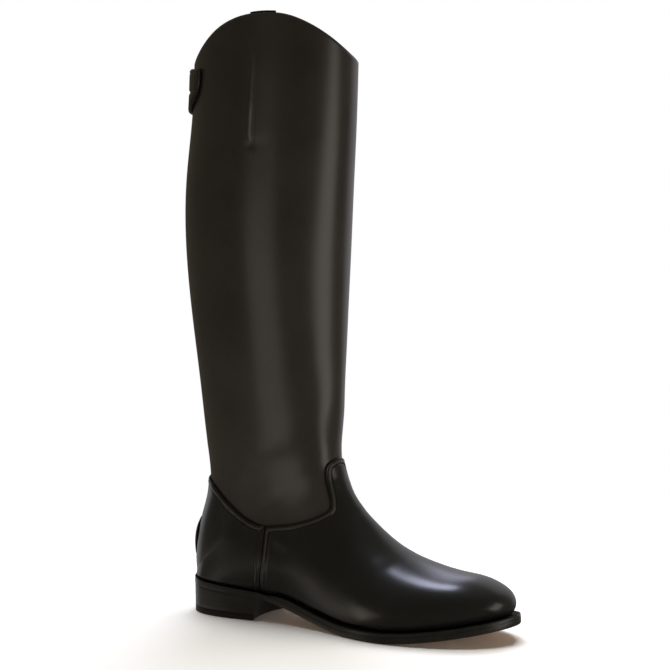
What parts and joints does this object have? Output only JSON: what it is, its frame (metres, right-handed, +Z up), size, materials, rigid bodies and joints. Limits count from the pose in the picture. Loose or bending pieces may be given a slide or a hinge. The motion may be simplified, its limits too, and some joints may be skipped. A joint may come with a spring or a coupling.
{
  "type": "tall leather riding boot",
  "caption": "Tall smooth black leather riding boot with a raised outer collar, stitched vamp and counter, spur rest, welted leather sole and low stacked heel.",
  "frame": {"origin": "middle of the boot's length and width, on the floor", "axes": "+X to the toe, -Y to the outer side of the foot, +Z up the leg"},
  "size_m": [0.3026, 0.1262, 0.5054],
  "materials": {
    "upper_leather": "satin, smooth, warm black-brown",
    "vamp_leather": "polished black",
    "counter_leather": "polished black",
    "tab_leather": "satin",
    "rest_leather": "satin",
    "strap_webbing": "woven",
    "insole_leather": "natural tan",
    "welt_leather": "dyed edge",
    "sole_leather": "dyed edge, natural tan underneath",
    "heel_leather": "dyed and burnished",
    "lift_rubber": "matt"
  },
  "bodies": {
    "root": {"upper": "upper_leather", "vamp": "vamp_leather", "counter": "counter_leather", "back_tab": "tab_leather", "spur_rest": "rest_leather", "pull_strap": "strap_webbing", "insole": "insole_leather", "welt": "welt_leather", "outsole": "sole_leather", "heel_stack": "heel_leather", "top_lift": "lift_rubber"}
  },
  "joints": []
}
